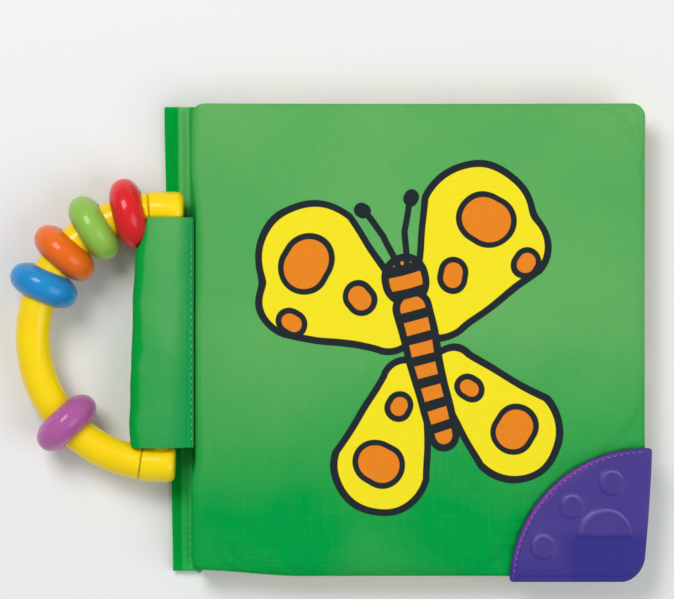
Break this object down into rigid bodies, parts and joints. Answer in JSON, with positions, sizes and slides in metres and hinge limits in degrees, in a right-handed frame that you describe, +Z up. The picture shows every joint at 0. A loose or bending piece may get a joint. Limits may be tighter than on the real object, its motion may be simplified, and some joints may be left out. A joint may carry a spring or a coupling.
{
  "type": "cloth crinkle book",
  "caption": "Soft padded cloth book with crinkle film in its leaves, a moulded teething corner and a beaded teething ring held in a sleeve on the spine.",
  "frame": {"origin": "middle of the back cover's underside, on the surface it lies on", "axes": "+X from the spine to the fore edge, +Y from the foot to the head of the page, +Z up out of the front cover"},
  "size_m": [0.2379, 0.1767, 0.0262],
  "materials": {
    "spine_cloth": "woven polyester",
    "binding_tape": "woven polyester tape",
    "handle_sleeve": "woven polyester",
    "page_1_upper_cloth": "woven polyester",
    "page_1_lower_cloth": "woven polyester",
    "page_1_crinkle_film": "thin clear film",
    "front_cover_cloth": "woven polyester, printed",
    "front_cover_lining": "woven polyester",
    "front_cover_crinkle_film": "thin clear film",
    "front_cover_wadding": "soft batting",
    "teether_corner": "soft satin",
    "page_2_upper_cloth": "woven polyester",
    "page_2_lower_cloth": "woven polyester",
    "page_2_crinkle_film": "thin clear film",
    "back_cover_lining": "woven polyester",
    "back_cover_cloth": "woven polyester",
    "back_cover_crinkle_film": "thin clear film",
    "back_cover_wadding": "soft batting",
    "ring_arch": "smooth moulded",
    "ring_bar": "smooth moulded",
    "bead_red": "polished",
    "bead_green": "polished",
    "bead_orange": "polished",
    "bead_blue": "polished",
    "bead_purple": "polished"
  },
  "bodies": {
    "spine": {"spine_cloth": "spine_cloth", "binding_tape": "binding_tape", "handle_sleeve": "handle_sleeve", "page_1_upper_cloth": "page_1_upper_cloth", "page_1_lower_cloth": "page_1_lower_cloth", "page_1_crinkle_film": "page_1_crinkle_film"},
    "front_cover": {"front_cover_cloth": "front_cover_cloth", "front_cover_lining": "front_cover_lining", "front_cover_crinkle_film": "front_cover_crinkle_film", "front_cover_wadding": "front_cover_wadding", "teether_corner": "teether_corner"},
    "page_2": {"page_2_upper_cloth": "page_2_upper_cloth", "page_2_lower_cloth": "page_2_lower_cloth", "page_2_crinkle_film": "page_2_crinkle_film"},
    "back_cover": {"back_cover_lining": "back_cover_lining", "back_cover_cloth": "back_cover_cloth", "back_cover_crinkle_film": "back_cover_crinkle_film", "back_cover_wadding": "back_cover_wadding"},
    "ring": {"ring_arch": "ring_arch", "ring_bar": "ring_bar"},
    "bead_red": {"bead_red": "bead_red"},
    "bead_green": {"bead_green": "bead_green"},
    "bead_orange": {"bead_orange": "bead_orange"},
    "bead_blue": {"bead_blue": "bead_blue"},
    "bead_purple": {"bead_purple": "bead_purple"}
  },
  "joints": [
    {"name": "front_cover_turn", "type": "hinge", "parent": "spine", "child": "front_cover", "pos_m": [-0.082, 0, 0.0164], "axis": [0, -1, 0], "range_deg": [0, 140]},
    {"name": "page_2_turn", "type": "hinge", "parent": "spine", "child": "page_2", "pos_m": [-0.082, 0, 0.0009], "axis": [0, 1, 0], "range_deg": [0, 150]},
    {"name": "back_cover_turn", "type": "hinge", "parent": "page_2", "child": "back_cover", "pos_m": [-0.082, 0, 0.0009], "axis": [0, -1, 0], "range_deg": [-150, 0]},
    {"name": "ring_swing", "type": "hinge", "parent": "spine", "child": "ring", "pos_m": [-0.0959, 0.00097, 0.0131], "axis": [-0.0332, -0.9995, 0], "range_deg": [-115, 12]},
    {"name": "bead_blue_slide", "type": "hinge", "parent": "ring", "child": "bead_blue", "pos_m": [-0.0969, 0.001, 0.0131], "axis": [0, 0, 1], "range_deg": [0, 49]},
    {"name": "bead_orange_slide", "type": "hinge", "parent": "ring", "child": "bead_orange", "pos_m": [-0.0969, 0.001, 0.0131], "axis": [0, 0, 1], "range_deg": [0, 49]},
    {"name": "bead_green_slide", "type": "hinge", "parent": "ring", "child": "bead_green", "pos_m": [-0.0969, 0.001, 0.0131], "axis": [0, 0, 1], "range_deg": [0, 49]},
    {"name": "bead_red_slide", "type": "hinge", "parent": "ring", "child": "bead_red", "pos_m": [-0.0969, 0.001, 0.0131], "axis": [0, 0, 1], "range_deg": [0, 49]},
    {"name": "bead_purple_slide", "type": "hinge", "parent": "ring", "child": "bead_purple", "pos_m": [-0.0969, 0.001, 0.0131], "axis": [0, 0, 1], "range_deg": [-49, 20]}
  ],
  "couplings": [
    {"joint": "bead_orange_slide", "follows": "bead_blue_slide", "ratio": 1},
    {"joint": "bead_green_slide", "follows": "bead_blue_slide", "ratio": 1},
    {"joint": "bead_red_slide", "follows": "bead_blue_slide", "ratio": 1}
  ]
}
